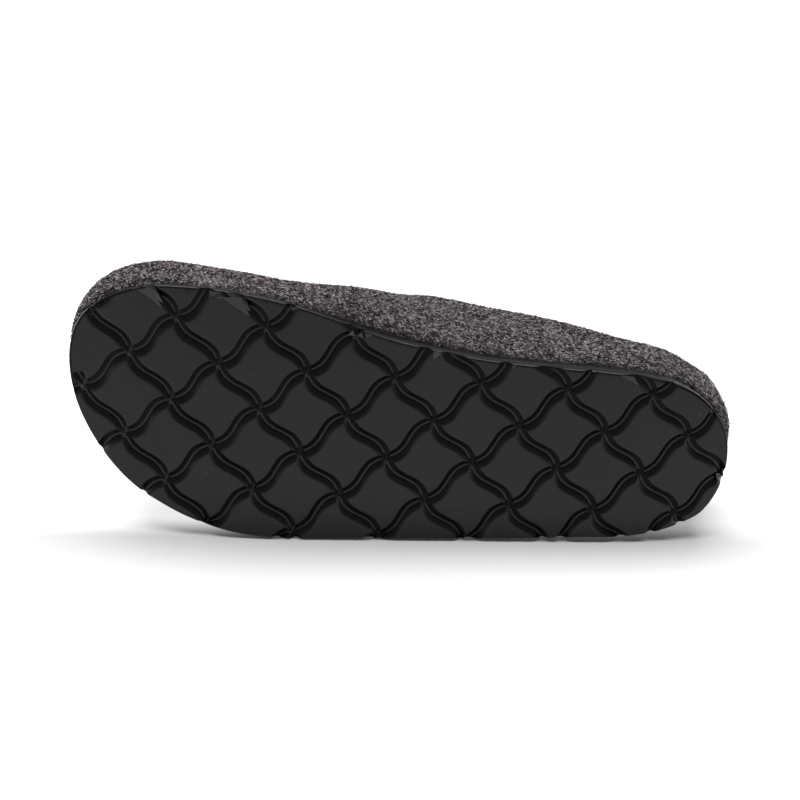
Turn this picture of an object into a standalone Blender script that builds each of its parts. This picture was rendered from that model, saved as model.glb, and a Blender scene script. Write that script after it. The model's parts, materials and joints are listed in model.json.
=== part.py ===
# A felt clog for the right foot, lying on its outer side.
# Sizes are in millimetres. along runs from the back of the heel to the toe
# tip, across is positive towards the outer side, and up leaves the ground.
import math
from collections import namedtuple

import bmesh
import bpy
import numpy as np
from mathutils import Matrix, Vector

MM = 0.001
GAP = 0.3
OUTLINE_POINTS = 2400
NORMAL_SPAN = 3

SOLE_LENGTH = 269.5
HEEL_TIP = (-1.0, 10.0)
TOE_TIP = (SOLE_LENGTH, -11.5)
TOE_SPRING = 16.4
TOE_BREAK = 175.5
HEEL_RISE = 4.7
HEEL_BREAK = 53.0
EDGE_REAR = 7.5
EDGE_FORE = 3.0
EDGE_STEP = (150.0, 180.0)
EDGE_CHAMFER = 0.8
SOLE_STATIONS = 44
FLAT_ANGLE = 0.0005

TILE_DIAGONAL = 35.0
TILE_WAVE = 0.064
TILE_ORIGIN = (158.0, 0.0)
GROOVE_TOP = 4.2
GROOVE_FLOOR = 1.0
GROOVE_DEPTHS = (2.2, 2.0)
GROOVE_BELOW = 3.0
GROOVE_STEPS = 6
GROOVE_RUN = 7
GROOVE_REACH = (-30.0, 300.0, 75.0)

FELT = 4.0
FELT_TUCK = 1.2
UPPER_AROUND = 84
UPPER_RISE = 13
COLLAR_ROUND = 1.3

INSOLE_THICK = 5.5
INSOLE_SLACK = 0.1
INSOLE_CUP = 3.0
INSOLE_CUP_POWER = 2.5
INSOLE_CUP_END = (60.0, 165.0)
INSOLE_ARCH = 3.5
INSOLE_ARCH_RISE = (55.0, 100.0)
INSOLE_ARCH_FALL = (130.0, 175.0)
INSOLE_STATIONS = 24
INSOLE_ACROSS = 8
TIP_WIDTH = 0.001

LYING_FACE = -0.8

RUBBER = ((0.028, 0.028, 0.030), 0.5)
WOOL = ((0.085, 0.070, 0.064), 0.95)
FOOTBED = ((0.12, 0.10, 0.09), 0.9)

# The sole's outline: how far it reaches to the inner and the outer side.
OutlineRow = namedtuple("OutlineRow", "along medial lateral")
OUTLINE = [
    OutlineRow(*row)
    for row in (
        (2.5, 3.4, 28.4),
        (7.0, 9.8, 35.0),
        (14.0, 16.4, 39.2),
        (25.0, 22.2, 43.6),
        (38.0, 25.0, 46.2),
        (56.0, 26.2, 47.7),
        (80.0, 26.7, 49.7),
        (106.0, 28.0, 51.5),
        (128.0, 31.0, 52.9),
        (148.0, 34.9, 54.1),
        (165.0, 40.0, 55.1),
        (182.0, 44.8, 56.0),
        (200.0, 47.6, 54.6),
        (214.0, 48.3, 50.6),
        (228.0, 47.9, 45.4),
        (240.0, 46.2, 39.7),
        (250.0, 42.2, 31.4),
        (258.5, 36.4, 20.8),
        (264.5, 30.4, 10.2),
        (268.0, 23.2, -0.2),
    )
]

# One row for each section of the upper, from its bottom edge to the collar.
# lift and flare lead the wall up and out from the sole, reach and drop lead it
# into the collar's edge.
UpperRow = namedtuple(
    "UpperRow", "side along collar_along collar_across collar_up lift flare reach drop"
)
UPPER = [
    UpperRow(*row)
    for row in (
        ("heel", 0.0, -4.0, 11.0, 41.0, 12.0, 7.0, 0.0, 12.0),
        ("lateral", 16.0, 14.0, 38.5, 41.0, 12.0, 2.5, 0.0, 12.0),
        ("lateral", 60.0, 58.0, 44.6, 45.0, 14.0, 0.8, 0.0, 13.0),
        ("lateral", 105.0, 98.0, 47.2, 52.0, 16.0, -0.3, 0.0, 15.0),
        ("lateral", 145.0, 127.0, 41.5, 62.5, 22.0, 1.0, 5.0, 19.0),
        ("lateral", 178.0, 143.5, 30.0, 74.0, 28.0, 3.0, 24.0, 19.0),
        ("lateral", 225.0, 151.5, 16.0, 81.5, 30.0, 7.0, 52.0, 18.0),
        ("toe", SOLE_LENGTH, 154.0, 4.0, 84.0, 30.0, 9.0, 78.0, 20.0),
        ("medial", 252.0, 153.0, -5.0, 82.8, 32.0, 15.0, 85.0, 18.0),
        ("medial", 225.0, 149.5, -11.5, 80.5, 31.0, 8.0, 56.0, 18.0),
        ("medial", 195.0, 142.0, -19.5, 75.0, 30.0, 5.5, 32.0, 19.0),
        ("medial", 160.0, 128.0, -29.5, 66.0, 27.0, 15.5, 20.0, 20.0),
        ("medial", 128.0, 113.5, -32.0, 59.5, 22.0, 10.0, 5.0, 16.0),
        ("medial", 100.0, 94.0, -30.5, 54.5, 18.0, 6.0, 0.0, 15.0),
        ("medial", 62.0, 59.0, -27.8, 47.0, 14.0, 4.5, 0.0, 13.0),
        ("medial", 22.0, 18.0, -22.0, 39.5, 12.0, 4.5, 0.0, 12.0),
        ("medial", 6.0, 0.5, -11.5, 40.0, 12.0, 7.5, 0.0, 12.0),
    )
]


def smooth_step(value, low, high):
    part = np.clip((value - low) / (high - low), 0.0, 1.0)
    return part**2 * (3.0 - 2.0 * part)


def underside(along):
    toe = np.maximum(0.0, along - TOE_BREAK) / (SOLE_LENGTH - TOE_BREAK)
    heel = np.maximum(0.0, HEEL_BREAK - along) / HEEL_BREAK
    return TOE_SPRING * toe**2 + HEEL_RISE * heel**2


def sole_top(along):
    thin = smooth_step(along, *EDGE_STEP)
    return underside(along) + EDGE_REAR + (EDGE_FORE - EDGE_REAR) * thin


def loop_curve(knots, values, period, at):
    # A smooth closed curve through the values, in the order of the knots.
    knots = np.asarray(knots, float)
    values = np.asarray(values, float)
    before = np.r_[knots[-1] - period, knots, knots[:2] + period]
    padded = np.concatenate([values[-1:], values, values[:2]])
    step = np.diff(before)[:, None]
    slope = np.diff(padded, axis=0) / step
    tangent = (slope[:-1] * step[1:] + slope[1:] * step[:-1]) / (step[1:] + step[:-1])
    at = np.mod(np.asarray(at, float) - knots[0], period) + knots[0]
    cell = np.clip(np.searchsorted(knots, at, side="right") - 1, 0, len(knots) - 1)
    width = step[cell + 1, 0][:, None]
    part = (at - knots[cell])[:, None] / width
    square, cube = part**2, part**3
    return (
        (2 * cube - 3 * square + 1) * padded[cell + 1]
        + (cube - 2 * square + part) * width * tangent[cell]
        + (3 * square - 2 * cube) * padded[cell + 2]
        + (cube - square) * width * tangent[cell + 1]
    )


def dense_outline():
    # Heel tip, outer side, toe tip, inner side, as points (along, across).
    outer = [(row.along, row.lateral) for row in OUTLINE]
    inner = [(row.along, -row.medial) for row in reversed(OUTLINE)]
    corners = np.array([HEEL_TIP, *outer, TOE_TIP, *inner], float)
    chord = np.linalg.norm(np.roll(corners, -1, axis=0) - corners, axis=1)
    knots = np.r_[0.0, np.cumsum(chord)[:-1]]
    at = np.linspace(0.0, chord.sum(), OUTLINE_POINTS, endpoint=False)
    return loop_curve(knots, corners, chord.sum(), at)


def outward(loop):
    ahead = np.roll(loop, -NORMAL_SPAN, axis=0) - np.roll(loop, NORMAL_SPAN, axis=0)
    normal = np.c_[-ahead[:, 1], ahead[:, 0]]
    return normal / np.linalg.norm(normal, axis=1)[:, None]


def arc_length(loop):
    chord = np.linalg.norm(np.roll(loop, -1, axis=0) - loop, axis=1)
    return np.r_[0.0, np.cumsum(chord)[:-1]], chord.sum()


def branches(loop):
    # (along, across) of the outer and the inner side, heel to toe.
    heel = int(np.argmin(loop[:, 0]))
    turned = np.roll(loop, -heel, axis=0)
    toe = int(np.argmax(turned[:, 0]))
    inner = np.concatenate([turned[toe:], turned[:1]])[::-1]
    return turned[: toe + 1], inner


def station_loop(loop, count):
    # Points of the loop at matching stations on both sides, closer at the ends.
    outer, inner = branches(loop)
    share = 0.5 - 0.5 * np.cos(np.linspace(0.0, math.pi, count + 1))
    along = outer[0, 0] + (outer[-1, 0] - outer[0, 0]) * share
    far = np.interp(along, outer[:, 0], outer[:, 1])
    near = np.interp(along, inner[:, 0], inner[:, 1])
    return along, far, near


def local(along, across, up):
    return Vector((-along * MM, up * MM, -across * MM))


def new_object(name, bm):
    bmesh.ops.recalc_face_normals(bm, faces=bm.faces)
    mesh = bpy.data.meshes.new(name)
    bm.to_mesh(mesh)
    bm.free()
    obj = bpy.data.objects.new(name, mesh)
    bpy.context.scene.collection.objects.link(obj)
    return obj


def paint(obj, colour, roughness):
    material = bpy.data.materials.new(obj.name)
    material.use_nodes = True
    shader = material.node_tree.nodes["Principled BSDF"]
    shader.inputs["Base Color"].default_value = (*colour, 1.0)
    shader.inputs["Roughness"].default_value = roughness
    obj.data.materials.append(material)


def outsole(outline):
    bm = bmesh.new()
    normal = outward(outline)
    levels = (
        (-EDGE_CHAMFER, underside, 0.0),
        (0.0, underside, EDGE_CHAMFER),
        (0.0, sole_top, 0.0),
    )
    rings = []
    for offset, height, extra in levels:
        along, far, near = station_loop(outline + normal * offset, SOLE_STATIONS)
        up = height(along) + extra
        outer = [bm.verts.new(local(*row)) for row in zip(along, far, up)]
        between = zip(along[1:-1], near[1:-1], up[1:-1])
        inner = [bm.verts.new(local(*row)) for row in between]
        rings.append((outer, [outer[0], *inner, outer[-1]]))
    for outer, inner in (rings[0], rings[2]):
        for k in range(SOLE_STATIONS):
            corners = [outer[k], outer[k + 1], inner[k + 1], inner[k]]
            bm.faces.new(list(dict.fromkeys(corners)))
    for low, high in zip(rings, rings[1:]):
        for one, two in zip(low, high):
            for k in range(SOLE_STATIONS):
                bm.faces.new([one[k], one[k + 1], two[k + 1], two[k]])
    bmesh.ops.recalc_face_normals(bm, faces=bm.faces)
    bmesh.ops.dissolve_limit(bm, angle_limit=FLAT_ANGLE, verts=bm.verts, edges=bm.edges)
    return new_object("outsole", bm)


def groove_line(family, index):
    # Middle of one wave of the tile lattice, as points (along, across).
    run = np.arange(-GROOVE_RUN * GROOVE_STEPS, GROOVE_RUN * GROOVE_STEPS + 1) / GROOVE_STEPS
    wave = TILE_WAVE * np.sin(2.0 * math.pi * run)
    if family == 0:
        first, second = index + wave, run
    else:
        first, second = run, index - wave
    back = TILE_DIAGONAL * (first + second) / 2.0
    side = TILE_DIAGONAL * (first - second) / 2.0
    return np.c_[TILE_ORIGIN[0] - back, TILE_ORIGIN[1] + side]


def grooves(family):
    # Tapered bars that cut one family of grooves out of the underside.
    bm = bmesh.new()
    depth = GROOVE_DEPTHS[family]
    taper = (GROOVE_TOP - GROOVE_FLOOR) / 2.0 / depth
    wide = GROOVE_FLOOR / 2.0 + taper * (depth + GROOVE_BELOW)
    heel_end, toe_end, side_end = GROOVE_REACH
    for index in range(-GROOVE_RUN, GROOVE_RUN + 1):
        line = groove_line(family, index)
        inside = (line[:, 0] > heel_end) & (line[:, 0] < toe_end)
        line = line[inside & (np.abs(line[:, 1]) < side_end)]
        if len(line) <= GROOVE_STEPS:
            continue
        ahead = np.gradient(line, axis=0)
        ahead /= np.linalg.norm(ahead, axis=1)[:, None]
        sideways = np.c_[-ahead[:, 1], ahead[:, 0]]
        floor = underside(line[:, 0]) + depth
        below = underside(line[:, 0]) - GROOVE_BELOW
        corners = (
            (GROOVE_FLOOR / 2.0, floor),
            (-GROOVE_FLOOR / 2.0, floor),
            (-wide, below),
            (wide, below),
        )
        edges = []
        for half, up in corners:
            edge = line + sideways * half
            edges.append([bm.verts.new(local(*spot, rise)) for spot, rise in zip(edge, up)])
        for one, two in zip(edges, (*edges[1:], edges[0])):
            for k in range(len(line) - 1):
                bm.faces.new([one[k], one[k + 1], two[k + 1], two[k]])
        for end in (0, -1):
            bm.faces.new([edge[end] for edge in edges])
    cutter = new_object("grooves_%d" % family, bm)
    cutter.hide_render = True
    cutter.display_type = "WIRE"
    return cutter


def upper_skin(outline):
    # Rings of points (along, across, up) on the outside, bottom edge to collar.
    at, period = arc_length(outline)
    outer, inner = branches(outline)
    sides = {"lateral": outer, "medial": inner, "heel": outer[:1], "toe": outer[-1:]}
    placed = []
    for row in UPPER:
        side = sides[row.side]
        spot = side[np.argmin(np.abs(side[:, 0] - row.along))]
        placed.append((at[np.argmin(np.linalg.norm(outline - spot, axis=1))], row[2:]))
    placed.sort()
    knots = [knot for knot, values in placed]
    wanted = np.linspace(0.0, period, UPPER_AROUND, endpoint=False)
    picked = [int(np.argmin(np.abs(at - one))) for one in wanted]
    table = loop_curve(knots, [values for knot, values in placed], period, at[picked])
    collar = table[:, :2]
    collar_up, lift, flare, reach, drop = table[:, 2:].T
    normal = outward(outline)[picked]
    foot = outline[picked] - normal * FELT_TUCK
    foot_up = sole_top(foot[:, 0]) + GAP
    away = foot - collar
    away /= np.maximum(np.linalg.norm(away, axis=1), 1.0)[:, None]
    ends = (
        np.c_[foot, foot_up],
        np.c_[foot + normal * flare[:, None], foot_up + lift],
        np.c_[collar + away * reach[:, None], collar_up - drop],
        np.c_[collar, collar_up],
    )
    skin = []
    for s in np.linspace(0.0, 1.0, UPPER_RISE + 1):
        weights = ((1 - s) ** 3, 3 * s * (1 - s) ** 2, 3 * s**2 * (1 - s), s**3)
        skin.append(sum(weight * end for weight, end in zip(weights, ends)))
    return np.array(skin), normal


def upper(outline):
    skin, normal = upper_skin(outline)
    climb = np.gradient(skin, axis=0)
    about = np.roll(skin, -1, axis=1) - np.roll(skin, 1, axis=1)
    face = np.cross(climb, about)
    face[0, :, 2] = 0.0
    face /= np.linalg.norm(face, axis=2)[:, :, None]
    face *= np.sign(np.sum(face[0, :, :2] * normal))
    lining = skin - face * FELT
    rim = climb[-1] / np.linalg.norm(climb[-1], axis=1)[:, None]
    crest = (skin[-1] + lining[-1]) / 2.0 + rim * COLLAR_ROUND
    bm = bmesh.new()
    levels = [*skin, crest, *lining[::-1]]
    rings = [[bm.verts.new(local(*spot)) for spot in level] for level in levels]
    for low, high in zip(rings, (*rings[1:], rings[0])):
        for k in range(UPPER_AROUND):
            n = (k + 1) % UPPER_AROUND
            bm.faces.new([low[k], low[n], high[n], high[k]])
    return new_object("upper", bm)


def insole_rise(along, share):
    # Height of the footbed over the sole: a heel cup and an arch support.
    cup = 1.0 - smooth_step(along, *INSOLE_CUP_END)
    arch = smooth_step(along, *INSOLE_ARCH_RISE) - smooth_step(along, *INSOLE_ARCH_FALL)
    rise = INSOLE_THICK + INSOLE_CUP * cup * np.abs(share) ** INSOLE_CUP_POWER
    return rise + INSOLE_ARCH * arch * np.maximum(0.0, -share) ** 2


def insole(outline):
    inset = FELT_TUCK + FELT + GAP + INSOLE_SLACK
    along, far, near = station_loop(outline - outward(outline) * inset, INSOLE_STATIONS)
    share = np.linspace(-1.0, 1.0, INSOLE_ACROSS + 1)
    bm = bmesh.new()
    sheets = []
    for top in (0.0, 1.0):
        rows = []
        for a, outer, inner in zip(along, far, near):
            tip = outer - inner < TIP_WIDTH
            spots = np.ones(1) if tip else share
            across = inner + (outer - inner) * (spots + 1.0) / 2.0
            up = sole_top(a) + GAP + top * insole_rise(a, spots)
            row = [bm.verts.new(local(a, z, h)) for z, h in zip(across, up)]
            rows.append(row * len(share) if tip else row)
        sheets.append(rows)
    for rows in sheets:
        for one, two in zip(rows, rows[1:]):
            for k in range(INSOLE_ACROSS):
                corners = [one[k], one[k + 1], two[k + 1], two[k]]
                bm.faces.new(list(dict.fromkeys(corners)))
    low, high = sheets
    for side in (0, -1):
        for k in range(INSOLE_STATIONS):
            bm.faces.new([low[k][side], low[k + 1][side], high[k + 1][side], high[k][side]])
    return new_object("insole", bm)


def volume_centre(objects):
    total, moment = 0.0, np.zeros(3)
    for obj in objects:
        obj.data.calc_loop_triangles()
        points = np.array([v.co for v in obj.data.vertices])
        faces = points[np.array([t.vertices for t in obj.data.loop_triangles])]
        part = np.einsum("ij,ij->i", faces[:, 0], np.cross(faces[:, 1], faces[:, 2])) / 6.0
        total += part.sum()
        moment += (part[:, None] * faces.sum(axis=1) / 4.0).sum(axis=0)
    return Vector(moment / total)


def lying_turn(objects):
    # Turns the face of the hull that carries the weight on the outer side down.
    centre = volume_centre(objects)
    bm = bmesh.new()
    for obj in objects:
        for v in obj.data.vertices:
            bm.verts.new(v.co)
    hull = bmesh.ops.convex_hull(bm, input=bm.verts)
    best = None
    for face in hull["geom"]:
        if not isinstance(face, bmesh.types.BMFace):
            continue
        a, b, c = (v.co for v in face.verts)
        normal = (b - a).cross(c - a).normalized()
        if normal.dot(a - centre) < 0:
            normal.negate()
        if normal.z > LYING_FACE:
            continue
        spot = centre + normal * normal.dot(a - centre)
        whole = (b - a).cross(c - a).length
        parts = sum((p - spot).cross(q - spot).length for p, q in ((a, b), (b, c), (c, a)))
        if best is None or parts - whole < best[0]:
            best = (parts - whole, normal)
    bm.free()
    return best[1].rotation_difference(Vector((0.0, 0.0, -1.0))).to_matrix().to_4x4()


def lay_down(objects, cutters):
    turn = lying_turn(objects)
    points = np.array([turn @ v.co for obj in objects for v in obj.data.vertices])
    low, high = points.min(axis=0), points.max(axis=0)
    middle = (low + high) / 2.0
    shift = Vector((-middle[0], -middle[1], -low[2]))
    floor = bpy.data.objects.new("clog", None)
    bpy.context.scene.collection.objects.link(floor)
    floor.matrix_world = Matrix.Translation(shift) @ turn
    for obj in (*objects, *cutters):
        obj.parent = floor


def main():
    for obj in list(bpy.data.objects):
        bpy.data.objects.remove(obj)
    outline = dense_outline()
    sole = outsole(outline)
    felt = upper(outline)
    bed = insole(outline)
    cutters = [grooves(family) for family in (0, 1)]
    for cutter in cutters:
        cut = sole.modifiers.new(cutter.name, "BOOLEAN")
        cut.operation = "DIFFERENCE"
        cut.solver = "EXACT"
        cut.object = cutter
    paint(sole, *RUBBER)
    paint(felt, *WOOL)
    paint(bed, *FOOTBED)
    lay_down((sole, felt, bed), cutters)


main()
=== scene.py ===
# A felt clog for the right foot, lying on its outer side with the tread towards the camera.
import json
import math

import bmesh
import bpy
import numpy as np
from mathutils import Matrix, Vector, geometry, noise
from mathutils.bvhtree import BVHTree


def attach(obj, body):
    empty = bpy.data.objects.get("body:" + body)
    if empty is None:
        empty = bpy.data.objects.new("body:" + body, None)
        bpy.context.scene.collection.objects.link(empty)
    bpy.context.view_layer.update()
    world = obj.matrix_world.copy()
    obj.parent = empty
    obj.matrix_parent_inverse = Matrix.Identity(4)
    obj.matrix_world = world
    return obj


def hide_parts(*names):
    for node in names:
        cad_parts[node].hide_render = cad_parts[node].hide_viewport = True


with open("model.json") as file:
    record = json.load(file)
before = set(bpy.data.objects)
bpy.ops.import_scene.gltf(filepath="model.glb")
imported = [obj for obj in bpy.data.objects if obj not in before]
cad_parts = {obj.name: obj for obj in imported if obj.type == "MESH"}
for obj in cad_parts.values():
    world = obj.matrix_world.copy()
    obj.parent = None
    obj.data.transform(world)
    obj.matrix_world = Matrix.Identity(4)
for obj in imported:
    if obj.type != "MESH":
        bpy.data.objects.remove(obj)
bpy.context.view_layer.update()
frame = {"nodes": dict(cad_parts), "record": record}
mm = 0.001

# the shoe's own frame: along from the heel to the toe, across to the outer side, up off the ground
shoe = {
    "toeLift": 3.06,  # degrees, as the clog lies
    "soleTip": 4.89,  # degrees the tread leans back
    "mountAlong": 140.5,
    "length": 269.5,
    "toeBreak": 175.5,
    "toeSpring": 16.4,
    "heelBreak": 53.0,
    "heelRise": 4.7,
    "edgeRear": 7.5,
    "edgeFore": 3.0,
    "edgeStep": (150.0, 180.0),
}


def lyingMatrix():
    tip = -math.sin(math.radians(shoe["soleTip"]))
    lift = -math.sin(math.radians(shoe["toeLift"]))
    floorUp = Vector((lift, tip, math.sqrt(1.0 - lift**2 - tip**2)))
    turn = floorUp.rotation_difference(Vector((0.0, 0.0, 1.0))).to_matrix()
    mount = frame["record"]["mounts"][0]
    shift = Vector(mount["pos_m"]) - turn @ Vector((-shoe["mountAlong"] * mm, 0.0, 0.0))
    return np.array(turn), np.array(shift)


shoeTurn, shoeShift = lyingMatrix()


def toWorld(along, across, up):
    local = np.stack([-np.asarray(along), np.asarray(up), -np.asarray(across)], axis=-1)
    return local * mm @ shoeTurn.T + shoeShift


def toShoe(points):
    local = (np.asarray(points) - shoeShift) @ shoeTurn / mm
    return np.stack([-local[..., 0], -local[..., 2], local[..., 1]], axis=-1)


def ease(value, low, high):
    part = np.clip((value - low) / (high - low), 0.0, 1.0)
    return part**2 * (3.0 - 2.0 * part)


def underside(along):
    toe = np.maximum(0.0, along - shoe["toeBreak"]) / (shoe["length"] - shoe["toeBreak"])
    heel = np.maximum(0.0, shoe["heelBreak"] - along) / shoe["heelBreak"]
    return shoe["toeSpring"] * toe**2 + shoe["heelRise"] * heel**2


def soleTop(along):
    thin = ease(along, *shoe["edgeStep"])
    return underside(along) + shoe["edgeRear"] + (shoe["edgeFore"] - shoe["edgeRear"]) * thin


def nodePoints(name):
    mesh = frame["nodes"][name].data
    points = np.empty(len(mesh.vertices) * 3)
    mesh.vertices.foreach_get("co", points)
    return toShoe(points.reshape(-1, 3))


def newPiece(name, bm, material):
    mesh = bpy.data.meshes.new(name)
    bm.to_mesh(mesh)
    bm.free()
    piece = bpy.data.objects.new(name, mesh)
    bpy.context.scene.collection.objects.link(piece)
    mesh.materials.append(material)
    mesh.shade_smooth()
    return piece


def bakeModifiers(piece):
    graph = bpy.context.evaluated_depsgraph_get()
    baked = bpy.data.meshes.new_from_object(piece.evaluated_get(graph), depsgraph=graph)
    old = piece.data
    piece.modifiers.clear()
    piece.data = baked
    bpy.data.meshes.remove(old)
    baked.name = piece.name


def feed(tree, socket, value):
    if isinstance(value, bpy.types.NodeSocket):
        tree.links.new(value, socket)
    else:
        socket.default_value = value


def nodeIn(tree, kind, **sockets):
    node = tree.nodes.new(kind)
    for key, value in sockets.items():
        feed(tree, node.inputs[key.replace("_", " ")], value)
    return node


def attributeIn(tree, name):
    node = tree.nodes.new("ShaderNodeAttribute")
    node.attribute_name = name
    return node.outputs["Fac"]


def rampIn(tree, factor, stops):
    ramp = tree.nodes.new("ShaderNodeValToRGB")
    elements = ramp.color_ramp.elements
    while len(elements) < len(stops):
        elements.new(0.5)
    for element, (place, colour) in zip(elements, stops):
        element.position = place
        element.color = (*colour, 1.0)
    tree.links.new(factor, ramp.inputs["Fac"])
    return ramp.outputs["Color"]


def mathIn(tree, operation, first, second=0.0, clamp=False):
    node = tree.nodes.new("ShaderNodeMath")
    node.operation = operation
    node.use_clamp = clamp
    for socket, value in zip(node.inputs, (first, second)):
        feed(tree, socket, value)
    return node.outputs[0]


def overIn(tree, value, start, gain, clamp=False):
    return mathIn(tree, "MULTIPLY", mathIn(tree, "SUBTRACT", value, start), gain, clamp)


def mixIn(tree, factor, first, second, blend="MIX"):
    node = tree.nodes.new("ShaderNodeMix")
    node.data_type = "RGBA"
    node.blend_type = blend
    for index, value in ((0, factor), (6, first), (7, second)):
        feed(tree, node.inputs[index], value)
    return node.outputs[2]


def spanIn(tree, value, start, end, low, high):
    node = nodeIn(tree, "ShaderNodeMapRange", Value=value, From_Min=start, From_Max=end)
    node.inputs["To Min"].default_value = low
    node.inputs["To Max"].default_value = high
    return node


def stretchIn(tree, value, stretch):
    node = tree.nodes.new("ShaderNodeVectorMath")
    node.operation = "MULTIPLY"
    feed(tree, node.inputs[0], value)
    node.inputs[1].default_value = stretch
    return node.outputs[0]


def bumpIn(tree, shader, height, strength, depth):
    bump = nodeIn(tree, "ShaderNodeBump", Height=height, Strength=strength, Distance=depth)
    tree.links.new(bump.outputs["Normal"], shader.inputs["Normal"])


def newMaterial(name):
    material = bpy.data.materials.new(name)
    material.use_nodes = True
    tree = material.node_tree
    shader = tree.nodes["Principled BSDF"]
    place = tree.nodes.new("ShaderNodeTexCoord").outputs["Object"]
    return material, tree, shader, place


# sole rubber: near black, satin, with fine grain, faint scuffs and a little dust, painted highlights on
# the corners where grooves run out and painted shade on groove walls and the rim
rubber = {
    "colour": (0.0056, 0.0056, 0.0078, 1.0),
    "dust": (0.16, 0.16, 0.17, 1.0),
    # painted highlight: pale tone on the corners where grooves run out at the rim
    "exitGlintTone": (0.100, 0.100, 0.108, 1.0),
    # painted shade: darker, less glossy rubber on groove walls, the side and the rim at both ends
    "paintedShadeTone": (0.0035, 0.0035, 0.0040, 1.0),
    "gloss": 0.28,
    "paintedShadeGloss": 0.07,
    "rough": (0.22, 0.30),
    "roughSize": 60.0,
    "roughSpread": (0.3, 0.7),
    "grainSize": 2600.0,
    "grainBump": 0.035,
    "grainDepth": 0.0002,
    "scuffStretch": (90.0, 900.0, 2600.0),
    "scuffTurn": (0.0, 0.5, 0.9),
    "scuffStart": 0.66,
    "scuffGain": 5.0,
    "scuffTone": 0.18,
    "scuffRough": 0.12,
    "dustSize": 210.0,
    "dustRadius": 0.045,
    "dustRare": 0.9,
    "dustTone": 0.8,
}


def rubberMaterial():
    material, tree, shader, place = newMaterial("soleRubber")
    grain = nodeIn(tree, "ShaderNodeTexNoise", Vector=place, Scale=rubber["grainSize"], Detail=3.0)
    cloud = nodeIn(tree, "ShaderNodeTexNoise", Vector=place, Scale=rubber["roughSize"], Detail=4.0)
    turned = nodeIn(
        tree, "ShaderNodeMapping", Vector=place, Rotation=rubber["scuffTurn"], Scale=rubber["scuffStretch"]
    )
    streak = nodeIn(tree, "ShaderNodeTexNoise", Vector=turned.outputs[0], Scale=1.0, Detail=2.0)
    scuff = overIn(tree, streak.outputs["Fac"], rubber["scuffStart"], rubber["scuffGain"], True)
    fleck = nodeIn(tree, "ShaderNodeTexVoronoi", Vector=place, Scale=rubber["dustSize"])
    spot = mathIn(tree, "LESS_THAN", fleck.outputs["Distance"], rubber["dustRadius"])
    chosen = nodeIn(tree, "ShaderNodeSeparateColor", Color=fleck.outputs["Color"])
    few = mathIn(tree, "GREATER_THAN", chosen.outputs["Red"], rubber["dustRare"])
    speck = mathIn(tree, "MULTIPLY", spot, few)
    scuffed = mathIn(tree, "MULTIPLY", scuff, rubber["scuffTone"])
    colour = mixIn(tree, scuffed, rubber["colour"], rubber["dust"])
    colour = mixIn(tree, mathIn(tree, "MULTIPLY", speck, rubber["dustTone"]), colour, rubber["dust"])
    # painted highlight on the corners where grooves run out
    colour = mixIn(tree, attributeIn(tree, "worn"), colour, rubber["exitGlintTone"])
    # painted shade: darker and less glossy on groove walls, the side and the rim at both ends
    dull = attributeIn(tree, "dull")
    colour = mixIn(tree, dull, colour, rubber["paintedShadeTone"])
    tree.links.new(colour, shader.inputs["Base Color"])
    gloss = spanIn(tree, dull, 0.0, 1.0, rubber["gloss"], rubber["paintedShadeGloss"])
    tree.links.new(gloss.outputs[0], shader.inputs["Specular IOR Level"])
    span = spanIn(tree, cloud.outputs["Fac"], *rubber["roughSpread"], *rubber["rough"])
    rough = mathIn(tree, "ADD", span.outputs[0], mathIn(tree, "MULTIPLY", scuff, rubber["scuffRough"]))
    tree.links.new(rough, shader.inputs["Roughness"])
    bumpIn(tree, shader, grain.outputs["Fac"], rubber["grainBump"], rubber["grainDepth"])
    return material


# wool felt: heathered charcoal brown with paler grey and rosy fibres
felt = {
    "heatherSize": 1400.0,
    "heatherTwist": 1.4,
    "heatherRough": 0.6,
    "drawn": (0.6, 1.0, 1.0),
    "patchSize": 230.0,
    "patchGain": 0.35,
    "wander": (0.004, 0.004, 0.004),
    "stops": (
        (0.36, (0.001, 0.001, 0.001)),
        (0.44, (0.008, 0.005, 0.004)),
        (0.50, (0.031, 0.021, 0.019)),
        (0.57, (0.092, 0.073, 0.072)),
        (0.66, (0.360, 0.305, 0.300)),
    ),
    "warmSize": 620.0,
    "warmStart": 0.45,
    "warmGain": 2.0,
    "brown": (1.30, 0.92, 0.80, 1.0),
    "cool": (0.84, 1.0, 1.16, 1.0),
    "shade": (0.006, 0.005, 0.005, 1.0),
    "roughness": 0.95,
    "gloss": 0.15,
    "sheen": 0.08,
    "sheenRough": 0.6,
    "sheenTone": (0.8, 0.75, 0.75, 1.0),
    "napBump": 0.55,
    "napDepth": 0.0007,
    "footbedBrightness": 1.35,
}


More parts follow.
